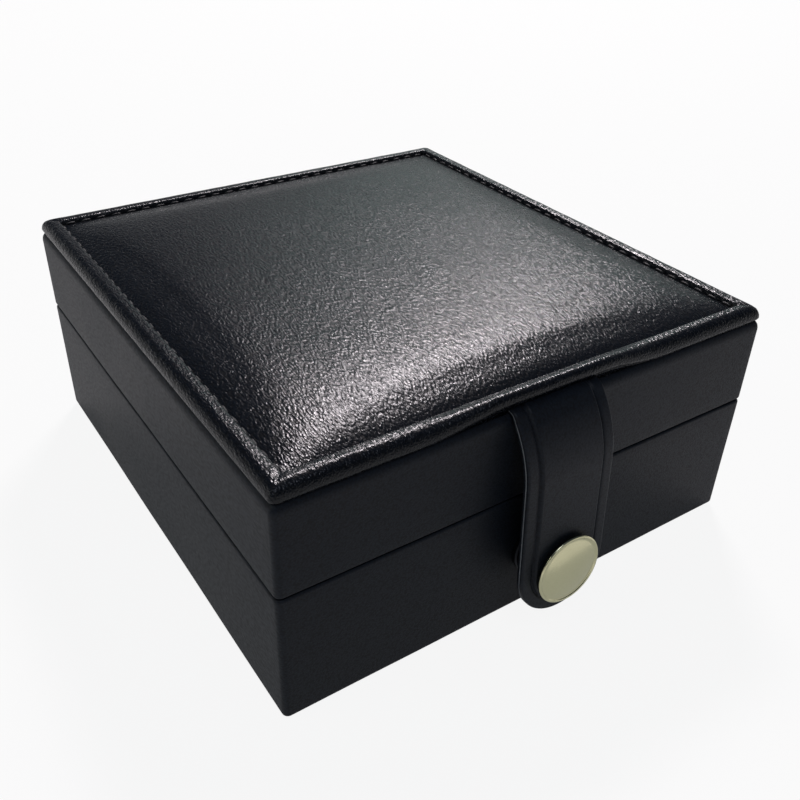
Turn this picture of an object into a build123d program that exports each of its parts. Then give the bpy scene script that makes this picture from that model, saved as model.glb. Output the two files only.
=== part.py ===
from build123d import *

import os
from math import asin, ceil, cos, hypot, pi, radians, sin

# A pocket watch box in black leatherette. The lid is hinged at the back, has a padded and stitched
# top cover, and is held shut by a strap with a magnetic button at the front.
# X runs across the front, Y from the front to the back, Z up. Sizes are in millimetres.
# The origin is the middle of the box's footprint, on the table.

# Box, measured outside the leatherette
box_width = 106.0
box_depth = 113.0
seam_height = 27.9
seam_gap = 0.3
shell_top = 46.2
corner_radius = 1.2
shoulder_radius = 1.0

# Layers of the walls and floors
leatherette = 0.7
wall_board = 4.0
floor_board = 2.5
lid_board = 2.5
lining = 0.8
lining_drop = 0.3
base_turn_in = 8.0
lid_turn_in = 10.0
bottom_sheet_thickness = 0.5
bottom_sheet_inset = 2.0

# Seat for the watch
insert_gap = 0.3
insert_card_thickness = 1.2
insert_drop = 6.0
velvet = 0.6
insert_edge_radius = 1.2
well_diameter = 54.0
well_depth = 12.5
well_y = 4.0
bow_slot_width = 15.0
bow_slot_length = 18.0
bow_slot_depth = 8.0
finger_notch_diameter = 18.0
finger_notch_depth = 9.0
trough_width = 72.0
trough_length = 15.0
trough_depth = 10.0
trough_y = -37.0

# Padded inside of the lid
pad_gap = 0.3
pad_card_thickness = 1.2
pad_edge = 5.0
pad_crown = 2.4
pad_shoulder = 14.0
satin = 0.5

# Padded top cover and its rolled rim
cover_card_thickness = 1.0
cover_card_inset = 1.2
stitch_inset = 4.0
rim_inset = 0.2
rim_foot_inset = 0.9
rim_height = 2.7
rim_corner_radius = 1.5
rim_brow = 0.9
rim_brow_drop = 0.35
rim_flank = 0.7
rim_flank_rise = 0.45
groove_height = 1.7
cover_crown = 2.6
cover_shoulder = 11.0
cover_skin = 0.6
foam_margin = 1.0
foam_edge = 0.2
rim_lift_start = 10.5
rim_lift_end = 26.0
stitch_pitch = 3.4
stitch_length = 2.4
stitch_corner_gap = 0.8
thread_diameter = 0.45

# Strap
strap_width = 19.2
strap_layer = 0.8
strap_pad = 0.7
strap_border = 2.6
strap_channel_width = 0.4
strap_channel_depth = 0.3
strap_start_angle = 35.0
strap_hang_angle = 3.5
strap_bend_radius = 19.5
strap_lead = 1.0
strap_wall_gap = 0.2
strap_pivot_height = 44.9
strap_fold_gap = 0.2
panel_start = 2.0
root_length = 12.0
root_tail = 0.9
root_fold = 0.9
root_fold_rise = 1.6
root_fold_length = 2.6
root_gap = 0.1

# Magnetic button
button_height = 14.4
cap_diameter = 14.0
cap_sheet = 0.5
cap_skirt = 1.2
cap_dome = 0.9
cap_flange = 3.2
rivet_head_diameter = 10.0
rivet_head = 0.4
rivet_shank_diameter = 3.0
rivet_tail_diameter = 5.2
rivet_tail = 0.5
cup_diameter = 12.0
cup_wall = 0.6
cup_base = 0.5
magnet_bore = 5.6
magnet_sink = 0.1
striker_diameter = 12.0
striker_thickness = 1.1
magnet_gap = 0.4

# Hinges
hinge_end_distance = 23.0
hinge_length = 20.0
leaf_thickness = 0.8
leaf_width = 4.7
knuckle_diameter = 3.0
barrel_stand = 0.25
centre_knuckle = 7.8
knuckle_gap = 0.15
pin_diameter = 1.4
pin_running_gap = 0.05
pin_head_diameter = 2.2
pin_head = 0.4
lid_opening = 100.0
stop_spare = 1.0
stop_leg_length = 3.4
stop_nose_reach = 2.9
stop_nose_thickness = 1.0
screw_spacing = 13.0
screw_diameter = 1.5
screw_head_diameter = 2.8
screw_head = 0.7
screw_length = 6.0

# Places worked out from the sizes above
base_bottom = bottom_sheet_thickness
base_top = seam_height - seam_gap / 2
lid_bottom = seam_height + seam_gap / 2
shell_width = box_width - 2 * leatherette
shell_depth = box_depth - 2 * leatherette
inner_width = shell_width - 2 * wall_board
inner_depth = shell_depth - 2 * wall_board
lined_width = inner_width - 2 * lining
lined_depth = inner_depth - 2 * lining
shell_radius = corner_radius - leatherette
base_floor = base_bottom + leatherette
base_inside = base_floor + floor_board
lid_inside = shell_top - leatherette - lid_board
front = -box_depth / 2
back = box_depth / 2

pieces = {}


def slab(width, depth, bottom, top, radius=0.0):
    """An upright block centred on the box, with rounded upright edges where radius is given."""
    outline = RectangleRounded(width, depth, radius) if radius else Rectangle(width, depth)
    return Pos(0, 0, bottom) * extrude(outline, top - bottom)


def block(low, high):
    """A block between two opposite corners."""
    size = [b - a for a, b in zip(low, high)]
    middle = [(a + b) / 2 for a, b in zip(low, high)]
    return Pos(*middle) * Box(*size)


def post(x, y, bottom, top, diameter):
    """An upright cylinder."""
    return Pos(x, y, (bottom + top) / 2) * Cylinder(diameter / 2, top - bottom)


def side_plane(x):
    """The plane across X at x, with its own X along Y and its own Y along Z."""
    return Plane(origin=(x, 0, 0), x_dir=(0, 1, 0), z_dir=(1, 0, 0))


def across(outline, width):
    """An outline drawn in Y and Z, carried across the box's middle by width."""
    return extrude(side_plane(-width / 2) * outline, width)


def wall_boards(bottom, top):
    """Front, back, left and right boards. Front and back run the full width, rounded at the ends."""
    outer = slab(shell_width, shell_depth, bottom, top, shell_radius)
    half_width, half_depth = shell_width / 2, inner_depth / 2
    front_board = outer & block((-half_width, -shell_depth / 2, bottom), (half_width, -half_depth, top))
    back_board = outer & block((-half_width, half_depth, bottom), (half_width, shell_depth / 2, top))
    left_board = block((-half_width, -half_depth, bottom), (-inner_width / 2, half_depth, top))
    right_board = block((inner_width / 2, -half_depth, bottom), (half_width, half_depth, top))
    return front_board, back_board, left_board, right_board


def cushion(width, depth, edge, crown, shoulder):
    """A cushion on the XY plane: upright edges, then a shoulder that swells into a crowned top.

    Each cross-section is a floor line, two upright edges, a shoulder arc on each side and one
    shallow arc over the middle. The crown sinks towards the front and back ends the same way.
    """
    half = width / 2
    shoulder_share = 0.72
    end_share = 0.03
    shoulder_run = 0.4
    shoulder_bulge = 0.62
    stations = 14

    def cross_section(y):
        reach = min(1.0, (depth / 2 - abs(y)) / shoulder)
        ease = sin(pi / 2 * reach)
        share = shoulder_share * ease + (1 - shoulder_share) * (1 - (2 * y / depth) ** 2)
        middle = crown * max(end_share, share)
        flank = shoulder_share * middle
        outline = [
            Line((-half, 0), (half, 0)),
            Line((half, 0), (half, edge)),
            ThreePointArc(
                (half, edge),
                (half - shoulder_run * shoulder, edge + shoulder_bulge * flank),
                (half - shoulder, edge + flank),
            ),
            ThreePointArc(
                (half - shoulder, edge + flank), (0, edge + middle), (shoulder - half, edge + flank)
            ),
            ThreePointArc(
                (shoulder - half, edge + flank),
                (shoulder_run * shoulder - half, edge + shoulder_bulge * flank),
                (-half, edge),
            ),
            Line((-half, edge), (-half, 0)),
        ]
        plane = Plane(origin=(0, y, 0), x_dir=(1, 0, 0), z_dir=(0, -1, 0))
        return plane * make_face(outline)

    places = [-depth / 2 * cos(pi * i / stations) for i in range(stations + 1)]
    return loft([cross_section(y) for y in places])


# Base: boards, leatherette, floor and lining
base_walls = wall_boards(base_floor, base_top - leatherette)
base_front_board, base_back_board, base_left_board, base_right_board = base_walls
base_bottom_board = slab(inner_width, inner_depth, base_floor, base_inside)

base_wrap = slab(box_width, box_depth, base_bottom, base_top, corner_radius)
base_wrap -= slab(shell_width, shell_depth, base_floor, base_top - leatherette, shell_radius)
base_wrap -= slab(inner_width, inner_depth, base_floor, base_top)
window_width = shell_width - 2 * base_turn_in
window_depth = shell_depth - 2 * base_turn_in
base_wrap -= slab(window_width, window_depth, base_bottom, base_floor)

bottom_sheet = slab(
    box_width - 2 * bottom_sheet_inset,
    box_depth - 2 * bottom_sheet_inset,
    0,
    base_bottom,
    corner_radius,
)
bottom_sheet += slab(window_width, window_depth, 0, base_floor)

base_lining = slab(inner_width, inner_depth, base_inside, base_top - lining_drop)
base_lining -= slab(lined_width, lined_depth, base_inside, base_top - lining_drop)

# Lid: boards, leatherette with its rounded shoulder, and lining
lid_walls = wall_boards(lid_bottom + leatherette, shell_top - leatherette)
lid_front_board, lid_back_board, lid_left_board, lid_right_board = lid_walls
lid_top_board = slab(inner_width, inner_depth, lid_inside, shell_top - leatherette)

lid_outer = slab(box_width, box_depth, lid_bottom, shell_top, corner_radius)
shoulder_edges = lid_outer.edges().group_by(Axis.Z)[-1]
lid_outer = fillet(shoulder_edges, shoulder_radius)
lid_wrap = lid_outer - slab(
    shell_width, shell_depth, lid_bottom + leatherette, shell_top - leatherette, shell_radius
)
lid_wrap -= slab(inner_width, inner_depth, lid_bottom, lid_bottom + leatherette)
lid_wrap -= slab(shell_width - 2 * lid_turn_in, shell_depth - 2 * lid_turn_in, lid_inside, shell_top)

lid_lining = slab(inner_width, inner_depth, lid_bottom + lining_drop, lid_inside)
lid_lining -= slab(lined_width, lined_depth, lid_bottom + lining_drop, lid_inside)

# Seat for the watch: card, foam and the velvet over it
seat_width = lined_width - 2 * insert_gap
seat_depth = lined_depth - 2 * insert_gap
seat_bottom = base_inside + insert_card_thickness
seat_top = base_top - insert_drop


def seat_hollows(grow):
    """Round well, bow slot, finger notches and chain trough, each grown by grow all round."""
    radius = well_diameter / 2
    top = seat_top + grow
    well = post(0, well_y, seat_top - well_depth - grow, top, well_diameter + 2 * grow)
    slot_back = well_y + radius + bow_slot_length
    slot = block(
        (-bow_slot_width / 2 - grow, well_y, seat_top - bow_slot_depth - grow),
        (bow_slot_width / 2 + grow, slot_back + grow, top),
    )
    hollows = well + slot
    for side in (-1, 1):
        bottom = seat_top - finger_notch_depth - grow
        hollows += post(side * radius, well_y, bottom, top, finger_notch_diameter + 2 * grow)
    trough = block(
        (-trough_width / 2 - grow, trough_y - trough_length / 2 - grow, seat_top - trough_depth - grow),
        (trough_width / 2 + grow, trough_y + trough_length / 2 + grow, top),
    )
    return hollows + trough


insert_card = slab(seat_width, seat_depth, base_inside, seat_bottom)
foam_width, foam_depth = seat_width - 2 * velvet, seat_depth - 2 * velvet
insert_foam = slab(foam_width, foam_depth, seat_bottom, seat_top - velvet) - seat_hollows(velvet)
seat_outer = slab(seat_width, seat_depth, seat_bottom, seat_top, insert_edge_radius)
seat_outer = fillet(seat_outer.edges().group_by(Axis.Z)[-1], insert_edge_radius)
insert_velvet = seat_outer - seat_hollows(0) - insert_foam

# Padded inside of the lid, crowned downwards
pad_width = lined_width - 2 * pad_gap
pad_depth = lined_depth - 2 * pad_gap
pad_top = lid_inside - pad_card_thickness
lid_pad_card = slab(pad_width, pad_depth, pad_top, lid_inside)
pad_outer = Pos(0, 0, pad_top) * Rot(180, 0, 0) * cushion(
    pad_width, pad_depth, pad_edge, pad_crown, pad_shoulder
)
lid_pad_foam = Pos(0, 0, pad_top) * Rot(180, 0, 0) * cushion(
    pad_width - 2 * satin, pad_depth - 2 * satin, pad_edge - satin, pad_crown, pad_shoulder
)
lid_pad_cover = pad_outer - lid_pad_foam

# Strap root: a thin tail under the top cover and a fold that hangs just over the front edge
strap_pivot_y = front - strap_wall_gap - strap_layer
fold_bottom = strap_pivot_height + strap_layer + strap_fold_gap
fold_back = front - root_gap
fold_front = fold_back - root_fold
fold_top = shell_top + root_fold_rise
fold_radius = 0.7 * root_fold
fold_corner = fold_radius * (1 - sin(radians(45)))
tail_end = front + root_length
root_outline = make_face(
    [
        Line((tail_end, shell_top), (fold_back, shell_top)),
        Line((fold_back, shell_top), (fold_back, fold_bottom)),
        Line((fold_back, fold_bottom), (fold_front, fold_bottom)),
        Line((fold_front, fold_bottom), (fold_front, fold_top - fold_radius)),
        ThreePointArc(
            (fold_front, fold_top - fold_radius),
            (fold_front + fold_corner, fold_top - fold_corner),
            (fold_front + fold_radius, fold_top),
        ),
        Line((fold_front + fold_radius, fold_top), (front + rim_foot_inset, fold_top)),
        Line((front + rim_foot_inset, fold_top), (front + root_fold_length, shell_top + root_tail)),
        Line((front + root_fold_length, shell_top + root_tail), (tail_end, shell_top + root_tail)),
        Line((tail_end, shell_top + root_tail), (tail_end, shell_top)),
    ]
)
strap_root = across(root_outline, strap_width)


# Top cover: the rolled rim, swelling up where the strap's root lies under it
def rim_face(lift, wall, floor):
    """Cross-section of the rim at one place: X is the distance in from the box's side, Y the height.

    lift raises the outside of the rim and fades to nothing at the stitches. wall is the distance
    in from the outer surface, and floor the height of what the section stands on. The outer skin's
    foot rises too, and a filler, which has some wall, keeps its foot down.
    """
    span = stitch_inset - rim_inset

    def raised(inset, height):
        return (inset, height + lift * (stitch_inset - inset) / span)

    foot_inset = rim_foot_inset + wall / 2
    foot = (foot_inset, floor) if wall else raised(foot_inset, floor)
    belly = raised(rim_inset + wall, floor + 0.42 * (rim_height - floor - wall))
    brow = raised(rim_inset + rim_brow + wall, rim_height - rim_brow_drop - wall)
    crest = raised((rim_inset + stitch_inset) / 2, rim_height - wall)
    flank = raised(stitch_inset - rim_flank - wall, groove_height + rim_flank_rise - wall)
    groove = (stitch_inset - wall, groove_height - wall)
    heel = (stitch_inset - wall, floor)
    lines = [
        ThreePointArc(foot, belly, brow),
        ThreePointArc(brow, crest, flank),
        Line(flank, groove),
    ]
    if groove[1] > floor:
        lines += [Line(groove, heel), Line(heel, foot)]
    else:
        lines += [Line(groove, foot)]
    return make_face(lines)


def rim_lift(x):
    """How far the strap's root lifts the front rim at x: full over the strap, then fading."""
    fade = (abs(x) - rim_lift_start) / (rim_lift_end - rim_lift_start)
    fade = min(1.0, max(0.0, fade))
    return (fold_top - shell_top + root_gap) * (1 + cos(pi * fade)) / 2


def rim_run(length, half_span, wall, floor, lifted):
    """One side of the rim at the front, mitred at both ends. Lifted runs have the strap's swell."""
    fade_steps = 6
    fade = [
        rim_lift_start + (rim_lift_end - rim_lift_start) * i / fade_steps
        for i in range(fade_steps + 1)
    ]
    right = (fade if lifted else []) + [length / 2]
    stations = [-x for x in reversed(right)] + right
    sections = []
    for x in stations:
        plane = Plane(origin=(x, -half_span, shell_top), x_dir=(0, 1, 0), z_dir=(1, 0, 0))
        sections.append(plane * rim_face(rim_lift(x) if lifted else 0.0, wall, floor))
    run = loft(sections, ruled=True)
    mitre = stitch_inset + 1
    half = length / 2
    corner = make_face(
        Polyline(
            (-half, -half_span),
            (half, -half_span),
            (half - mitre, mitre - half_span),
            (mitre - half, mitre - half_span),
            close=True,
        )
    )
    height = 2 * (rim_height + root_fold_rise)
    return run & (Pos(0, 0, shell_top) * extrude(corner, height))


def rim(wall=0.0, floor=0.0):
    """The whole rim: four mitred sides, with the upright corners rounded."""
    whole = rim_run(box_width, box_depth / 2, wall, floor, True)
    whole += Rot(0, 0, 180) * rim_run(box_width, box_depth / 2, wall, floor, False)
    for angle in (90, 270):
        whole += Rot(0, 0, angle) * rim_run(box_depth, box_width / 2, wall, floor, False)
    width, depth = box_width - 2 * (rim_inset + wall), box_depth - 2 * (rim_inset + wall)
    top = shell_top + 2 * (rim_height + root_fold_rise)
    return whole & slab(width, depth, shell_top, top, rim_corner_radius)


card_top = shell_top + cover_card_thickness
cover_card = slab(
    box_width - 2 * cover_card_inset,
    box_depth - 2 * cover_card_inset,
    shell_top,
    card_top,
    rim_corner_radius,
)
cover_card -= strap_root

sewn_width = box_width - 2 * stitch_inset
sewn_depth = box_depth - 2 * stitch_inset
cover_outer = Pos(0, 0, shell_top) * cushion(
    sewn_width, sewn_depth, groove_height, cover_crown, cover_shoulder
)
foam_crown = groove_height + cover_crown - cover_skin - cover_card_thickness - foam_edge
cover_foam = Pos(0, 0, card_top) * cushion(
    sewn_width - 2 * foam_margin,
    sewn_depth - 2 * foam_margin,
    foam_edge,
    foam_crown,
    cover_shoulder,
)
rim_filler = rim(cover_skin, cover_card_thickness) - strap_root
top_cover = rim() + cover_outer - cover_card - cover_foam - rim_filler - strap_root


# Stitches lie in the groove between the rim and the crown
def stitch_run(length, half_span):
    """One side's stitches, evenly spaced, at the front."""
    room = length - 2 * (stitch_inset + stitch_corner_gap) - stitch_length
    count = int(room / stitch_pitch) + 1
    pitch = room / (count - 1)
    height = shell_top + groove_height + 0.75 * thread_diameter
    return [
        Pos(pitch * (i - (count - 1) / 2), stitch_inset - half_span, height)
        * Rot(0, 90, 0)
        * Cylinder(thread_diameter / 2, stitch_length)
        for i in range(count)
    ]


stitches = stitch_run(box_width, box_depth / 2)
stitches += [Rot(0, 0, 180) * stitch for stitch in stitch_run(box_width, box_depth / 2)]
for turn in (90, 270):
    stitches += [Rot(0, 0, turn) * stitch for stitch in stitch_run(box_depth, box_width / 2)]
top_stitching = Compound(stitches)


# Strap: a short straight lead, a wide bend, then a straight fall in front of the box
def strap_normal(angle):
    """Unit vector out of the strap's outer face where it hangs angle degrees off the vertical."""
    return Vector(-cos(radians(angle)), sin(radians(angle)))


def strap_along(angle):
    """Unit vector down the strap."""
    return Vector(-sin(radians(angle)), -cos(radians(angle)))


bend_start = Vector(strap_pivot_y, strap_pivot_height) + strap_along(strap_start_angle) * strap_lead
bend_centre = bend_start - strap_normal(strap_start_angle) * strap_bend_radius
bend_end = bend_centre + strap_normal(strap_hang_angle) * strap_bend_radius


def fall_point(height):
    """The place on the strap's middle line, on its straight fall, at a height."""
    run = (bend_end.Y - height) / cos(radians(strap_hang_angle))
    return bend_end + strap_along(strap_hang_angle) * run


def strap_band(inner, outer, start=0.0):
    """Side outline of a layer between two offsets from the middle line, cut start below the top."""
    begin = Vector(strap_pivot_y, strap_pivot_height)
    middle_angle = (strap_start_angle + strap_hang_angle) / 2
    end = fall_point(0)

    def edge(offset):
        first = begin + strap_normal(strap_start_angle) * offset
        bend_in = bend_start + strap_normal(strap_start_angle) * offset
        bend_mid = bend_centre + strap_normal(middle_angle) * (strap_bend_radius + offset)
        bend_out = bend_end + strap_normal(strap_hang_angle) * offset
        last = end + strap_normal(strap_hang_angle) * offset
        return first, bend_in, bend_mid, bend_out, last

    a, b = edge(inner), edge(outer)
    band = make_face(
        [
            Line(a[0], a[1]),
            ThreePointArc(a[1], a[2], a[3]),
            Line(a[3], a[4]),
            Line(a[4], b[4]),
            Line(b[4], b[3]),
            ThreePointArc(b[3], b[2], b[1]),
            Line(b[1], b[0]),
            Line(b[0], a[0]),
        ]
    )
    if start:
        top = strap_pivot_height - start
        reach = box_depth
        band &= Pos(strap_pivot_y, top / 2) * Rectangle(reach, top)
    return band


def tongue(inset):
    """The strap's outline from the front, drawn in by inset: straight sides, and a tip that is
    round about the button."""
    half = strap_width / 2 - inset
    sides = Rectangle(2 * half, shell_top - button_height)
    face = Pos(0, (button_height + shell_top) / 2) * sides + Pos(0, button_height) * Circle(half)
    plane = Plane(origin=(0, 0, 0), x_dir=(1, 0, 0), z_dir=(0, -1, 0))
    return extrude(plane * face, box_depth)


panel_width = strap_width - 2 * strap_border
panel_outline = tongue(strap_border)
strap_lining = across(strap_band(-strap_layer, 0), strap_width) & tongue(0)
strap_padding = across(strap_band(0, strap_pad, panel_start + strap_layer), strap_width)
strap_padding &= tongue(strap_border + strap_layer)
strap_face = across(strap_band(0, strap_layer), strap_width) & tongue(0)
strap_face += across(strap_band(0, strap_layer + strap_pad, panel_start), strap_width) & panel_outline
strap_face -= strap_padding
channel = across(strap_band(strap_layer - strap_channel_depth, 2 * strap_layer, panel_start), strap_width)
channel &= tongue(strap_border - strap_channel_width)
strap_face -= channel - panel_outline

# Button: a domed cap, its rivet through the strap, and a ring magnet in a steel cup behind
button_point = fall_point(button_height)
button_normal = strap_normal(strap_hang_angle)
button_place = Plane(
    origin=(0, button_point.X, button_point.Y),
    x_dir=(1, 0, 0),
    z_dir=(0, button_normal.X, button_normal.Y),
)
cap_seat = strap_layer + strap_pad
cup_seat = -strap_layer
cup_depth = front - button_point.X - strap_layer - striker_thickness - magnet_gap


def dome(radius, edge, apex):
    """Middle point of a dome's arc from the edge to its apex on the axis, centred on the axis."""
    rise = apex - edge
    ball = (rise**2 + radius**2) / (2 * rise)
    half_angle = asin(radius / ball) / 2
    return ball * sin(half_angle), apex - ball + ball * cos(half_angle)


def turned(points, arcs=()):
    """A turned piece about the button's axis. arcs gives a middle point for the segments that bend."""
    bends = dict(arcs)
    lines = []
    for i, start in enumerate(points):
        stop = points[(i + 1) % len(points)]
        if i in bends:
            lines.append(ThreePointArc(start, bends[i], stop))
        else:
            lines.append(Line(start, stop))
    profile = Plane.XZ * make_face(lines)
    return button_place * revolve(profile, Axis.Z)


cap_radius = cap_diameter / 2
cap_lip = cap_radius - cap_sheet
cap_edge = cap_seat + cap_skirt
cap_apex = cap_edge + cap_dome
button_cap = turned(
    [
        (cap_radius - cap_flange, cap_seat),
        (cap_lip, cap_seat),
        (cap_radius, cap_seat + cap_sheet),
        (cap_radius, cap_edge - cap_sheet / 2),
        (cap_lip, cap_edge),
        (0, cap_apex),
        (0, cap_apex - cap_sheet),
        (cap_lip, cap_edge - cap_sheet),
        (cap_lip, cap_seat + cap_sheet),
        (cap_radius - cap_flange, cap_seat + cap_sheet),
    ],
    [
        (4, dome(cap_lip, cap_edge, cap_apex)),
        (6, dome(cap_lip, cap_edge - cap_sheet, cap_apex - cap_sheet)),
    ],
)
shank = rivet_shank_diameter / 2
head = rivet_head_diameter / 2
head_floor = cap_seat + cap_sheet
tail_top = cup_seat - cup_base
button_rivet = turned(
    [
        (0, head_floor + rivet_head),
        (0, tail_top - rivet_tail),
        (rivet_tail_diameter / 2, tail_top - rivet_tail),
        (rivet_tail_diameter / 2, tail_top),
        (shank, tail_top),
        (shank, head_floor),
        (head, head_floor),
        (head, head_floor + rivet_head),
    ]
)
cup_radius = cup_diameter / 2
cup_floor = cup_seat - cup_base
cup_mouth = cup_seat - cup_depth
magnet_cup = turned(
    [
        (shank, cup_seat),
        (cup_radius, cup_seat),
        (cup_radius, cup_mouth),
        (cup_radius - cup_wall, cup_mouth),
        (cup_radius - cup_wall, cup_floor),
        (shank, cup_floor),
    ]
)
magnet = turned(
    [
        (magnet_bore / 2, cup_floor),
        (cup_radius - cup_wall, cup_floor),
        (cup_radius - cup_wall, cup_mouth + magnet_sink),
        (magnet_bore / 2, cup_mouth + magnet_sink),
    ]
)
strap_hole = turned([(0, cap_seat + 1), (shank, cap_seat + 1), (shank, cup_seat - 1), (0, cup_seat - 1)])
strap_face -= strap_hole
strap_padding -= strap_hole
strap_lining -= strap_hole


# Striker plate on the base's front, held by a rivet whose tail sinks into the board
def front_disc(near, far, diameter):
    """A disc on the button's height, with its axis square to the front, from near to far."""
    return Pos(0, (near + far) / 2, button_height) * Rot(90, 0, 0) * Cylinder(diameter / 2, abs(far - near))


striker_front = front - striker_thickness
board_front = front + leatherette
board_back = board_front + wall_board
striker_head = front_disc(striker_front, striker_front + rivet_tail, rivet_tail_diameter)
striker_shank = front_disc(striker_front, board_back, rivet_shank_diameter)
striker_tail = front_disc(board_back - rivet_tail, board_back, rivet_tail_diameter)
striker_rivet = striker_shank + striker_head + striker_tail
striker_plate = front_disc(striker_front, front, striker_diameter)
rim_edges = striker_plate.edges().group_by(Axis.Y)[0]
striker_plate = chamfer(rim_edges, striker_thickness / 4) - striker_rivet
base_front_board -= striker_rivet
base_wrap -= striker_rivet


# Hinges: two leaves, a pin, and a stop nose that meets the base leaf's leg when the lid is open
barrel_y = back + barrel_stand + knuckle_diameter / 2
leaf_inner = back - leaf_width
leg_top = base_top - leaf_thickness
leg_face = back + 0.1


def barrel(x_from, x_to, diameter):
    """A cylinder on the hinge's axis."""
    middle = (x_from + x_to) / 2
    return Pos(middle, barrel_y, seam_height) * Rot(0, 90, 0) * Cylinder(diameter / 2, x_to - x_from)


def stop_angle():
    """Rest angle of the stop nose, above the horizontal, so that it lands past the lid's opening."""
    reach, half = stop_nose_reach, stop_nose_thickness / 2
    corner = hypot(reach, half)
    landing = 90 + (asin((barrel_y - leg_face) / corner) - asin(half / corner)) * 180 / pi
    return lid_opening + stop_spare - landing


def screw_places(x):
    middle = (leaf_inner + back) / 2
    return [(x - screw_spacing / 2, middle), (x + screw_spacing / 2, middle)]


def screw(x, y, face, direction):
    """A countersunk screw with its head flush with face. direction is -1 for down, 1 for up."""
    cone = Cone(screw_diameter / 2, screw_head_diameter / 2, screw_head)
    shank_part = Pos(0, 0, -screw_length / 2) * Cylinder(screw_diameter / 2, screw_length)
    body = Pos(0, 0, -screw_head / 2) * cone + shank_part
    turn = Rot(0, 0, 0) if direction < 0 else Rot(180, 0, 0)
    return Pos(x, y, face) * turn * body


def leaf_pair(x):
    """Base leaf, lid leaf, pin, screws and the pockets that the leaves lie in."""
    half = hinge_length / 2
    half_centre = centre_knuckle / 2
    outer_reach = half_centre + knuckle_gap
    lower, upper = base_top - leaf_thickness, lid_bottom + leaf_thickness
    bore = barrel(x - half, x + half, pin_diameter)
    wide_bore = barrel(x - half, x + half, pin_diameter + 2 * pin_running_gap)

    base_leaf = block((x - half, leaf_inner, lower), (x + half, back, base_top))
    lid_leaf = block((x - half, leaf_inner, lid_bottom), (x + half, back, upper))
    for x_from, x_to in ((x - half, x - outer_reach), (x + outer_reach, x + half)):
        base_leaf += block((x_from, back, lower), (x_to, barrel_y, base_top))
        base_leaf += barrel(x_from, x_to, knuckle_diameter)
    lid_leaf += block((x - half_centre, back, lid_bottom), (x + half_centre, barrel_y, upper))
    lid_leaf += barrel(x - half_centre, x + half_centre, knuckle_diameter)

    leg = block(
        (x - half_centre, leg_face - leaf_thickness, leg_top - stop_leg_length),
        (x + half_centre, leg_face, leg_top),
    )
    base_leaf += leg
    nose = block(
        (-half_centre, knuckle_diameter / 4, -stop_nose_thickness / 2),
        (half_centre, stop_nose_reach, stop_nose_thickness / 2),
    )
    lid_leaf += Pos(x, barrel_y, seam_height) * Rot(stop_angle(), 0, 0) * nose

    pin = bore
    for end, outward in ((x - half, -1), (x + half, 1)):
        reach = sorted((end, end + outward * pin_head))
        pin += barrel(*reach, pin_head_diameter)

    base_screws = [screw(a, b, base_top, -1) for a, b in screw_places(x)]
    lid_screws = [screw(a, b, lid_bottom, 1) for a, b in screw_places(x)]
    base_leaf -= bore
    lid_leaf -= wide_bore
    for one in base_screws:
        base_leaf -= one
    for one in lid_screws:
        lid_leaf -= one
    base_pocket = block((x - half, leaf_inner, lower), (x + half, back, base_top)) + leg
    lid_pocket = block((x - half, leaf_inner, lid_bottom), (x + half, back, upper))
    return base_leaf, lid_leaf, pin, base_screws, lid_screws, base_pocket, lid_pocket


base_screw_group, lid_screw_group = [], []
for side, name in ((-1, "left"), (1, "right")):
    hinge = leaf_pair(side * (box_width / 2 - hinge_end_distance))
    base_leaf, lid_leaf, pin, base_screws, lid_screws, base_pocket, lid_pocket = hinge
    pieces[f"hinge_{name}_base_leaf"] = base_leaf
    pieces[f"hinge_{name}_lid_leaf"] = lid_leaf
    pieces[f"hinge_{name}_pin"] = pin
    base_screw_group += base_screws
    lid_screw_group += lid_screws
    base_wrap -= base_pocket
    base_back_board -= base_pocket
    lid_wrap -= lid_pocket
    lid_back_board -= lid_pocket
    for one in base_screws:
        base_back_board -= one
    for one in lid_screws:
        lid_back_board -= one
hinge_base_screws = Compound(base_screw_group)
hinge_lid_screws = Compound(lid_screw_group)

pieces.update(
    base_front_board=base_front_board,
    base_back_board=base_back_board,
    base_left_board=base_left_board,
    base_right_board=base_right_board,
    base_bottom_board=base_bottom_board,
    base_wrap=base_wrap,
    bottom_sheet=bottom_sheet,
    base_lining=base_lining,
    insert_card=insert_card,
    insert_foam=insert_foam,
    insert_velvet=insert_velvet,
    striker_plate=striker_plate,
    striker_rivet=striker_rivet,
    hinge_base_screws=hinge_base_screws,
    hinge_lid_screws=hinge_lid_screws,
    lid_front_board=lid_front_board,
    lid_back_board=lid_back_board,
    lid_left_board=lid_left_board,
    lid_right_board=lid_right_board,
    lid_top_board=lid_top_board,
    lid_wrap=lid_wrap,
    lid_lining=lid_lining,
    lid_pad_card=lid_pad_card,
    lid_pad_foam=lid_pad_foam,
    lid_pad_cover=lid_pad_cover,
    cover_card=cover_card,
    cover_foam=cover_foam,
    rim_filler=rim_filler,
    top_cover=top_cover,
    top_stitching=top_stitching,
    strap_root=strap_root,
    strap_face=strap_face,
    strap_padding=strap_padding,
    strap_lining=strap_lining,
    button_cap=button_cap,
    button_rivet=button_rivet,
    magnet_cup=magnet_cup,
    magnet=magnet,
)

for name, piece in pieces.items():
    export_step(piece, f"parts/{name}.step")
print(len(pieces), "nodes; lid pivots at", round(barrel_y, 3), seam_height)
print("strap pivots at", round(strap_pivot_y, 3), strap_pivot_height, "cup depth", round(cup_depth, 3))
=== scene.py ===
from math import cos, pi, radians, sin

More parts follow.
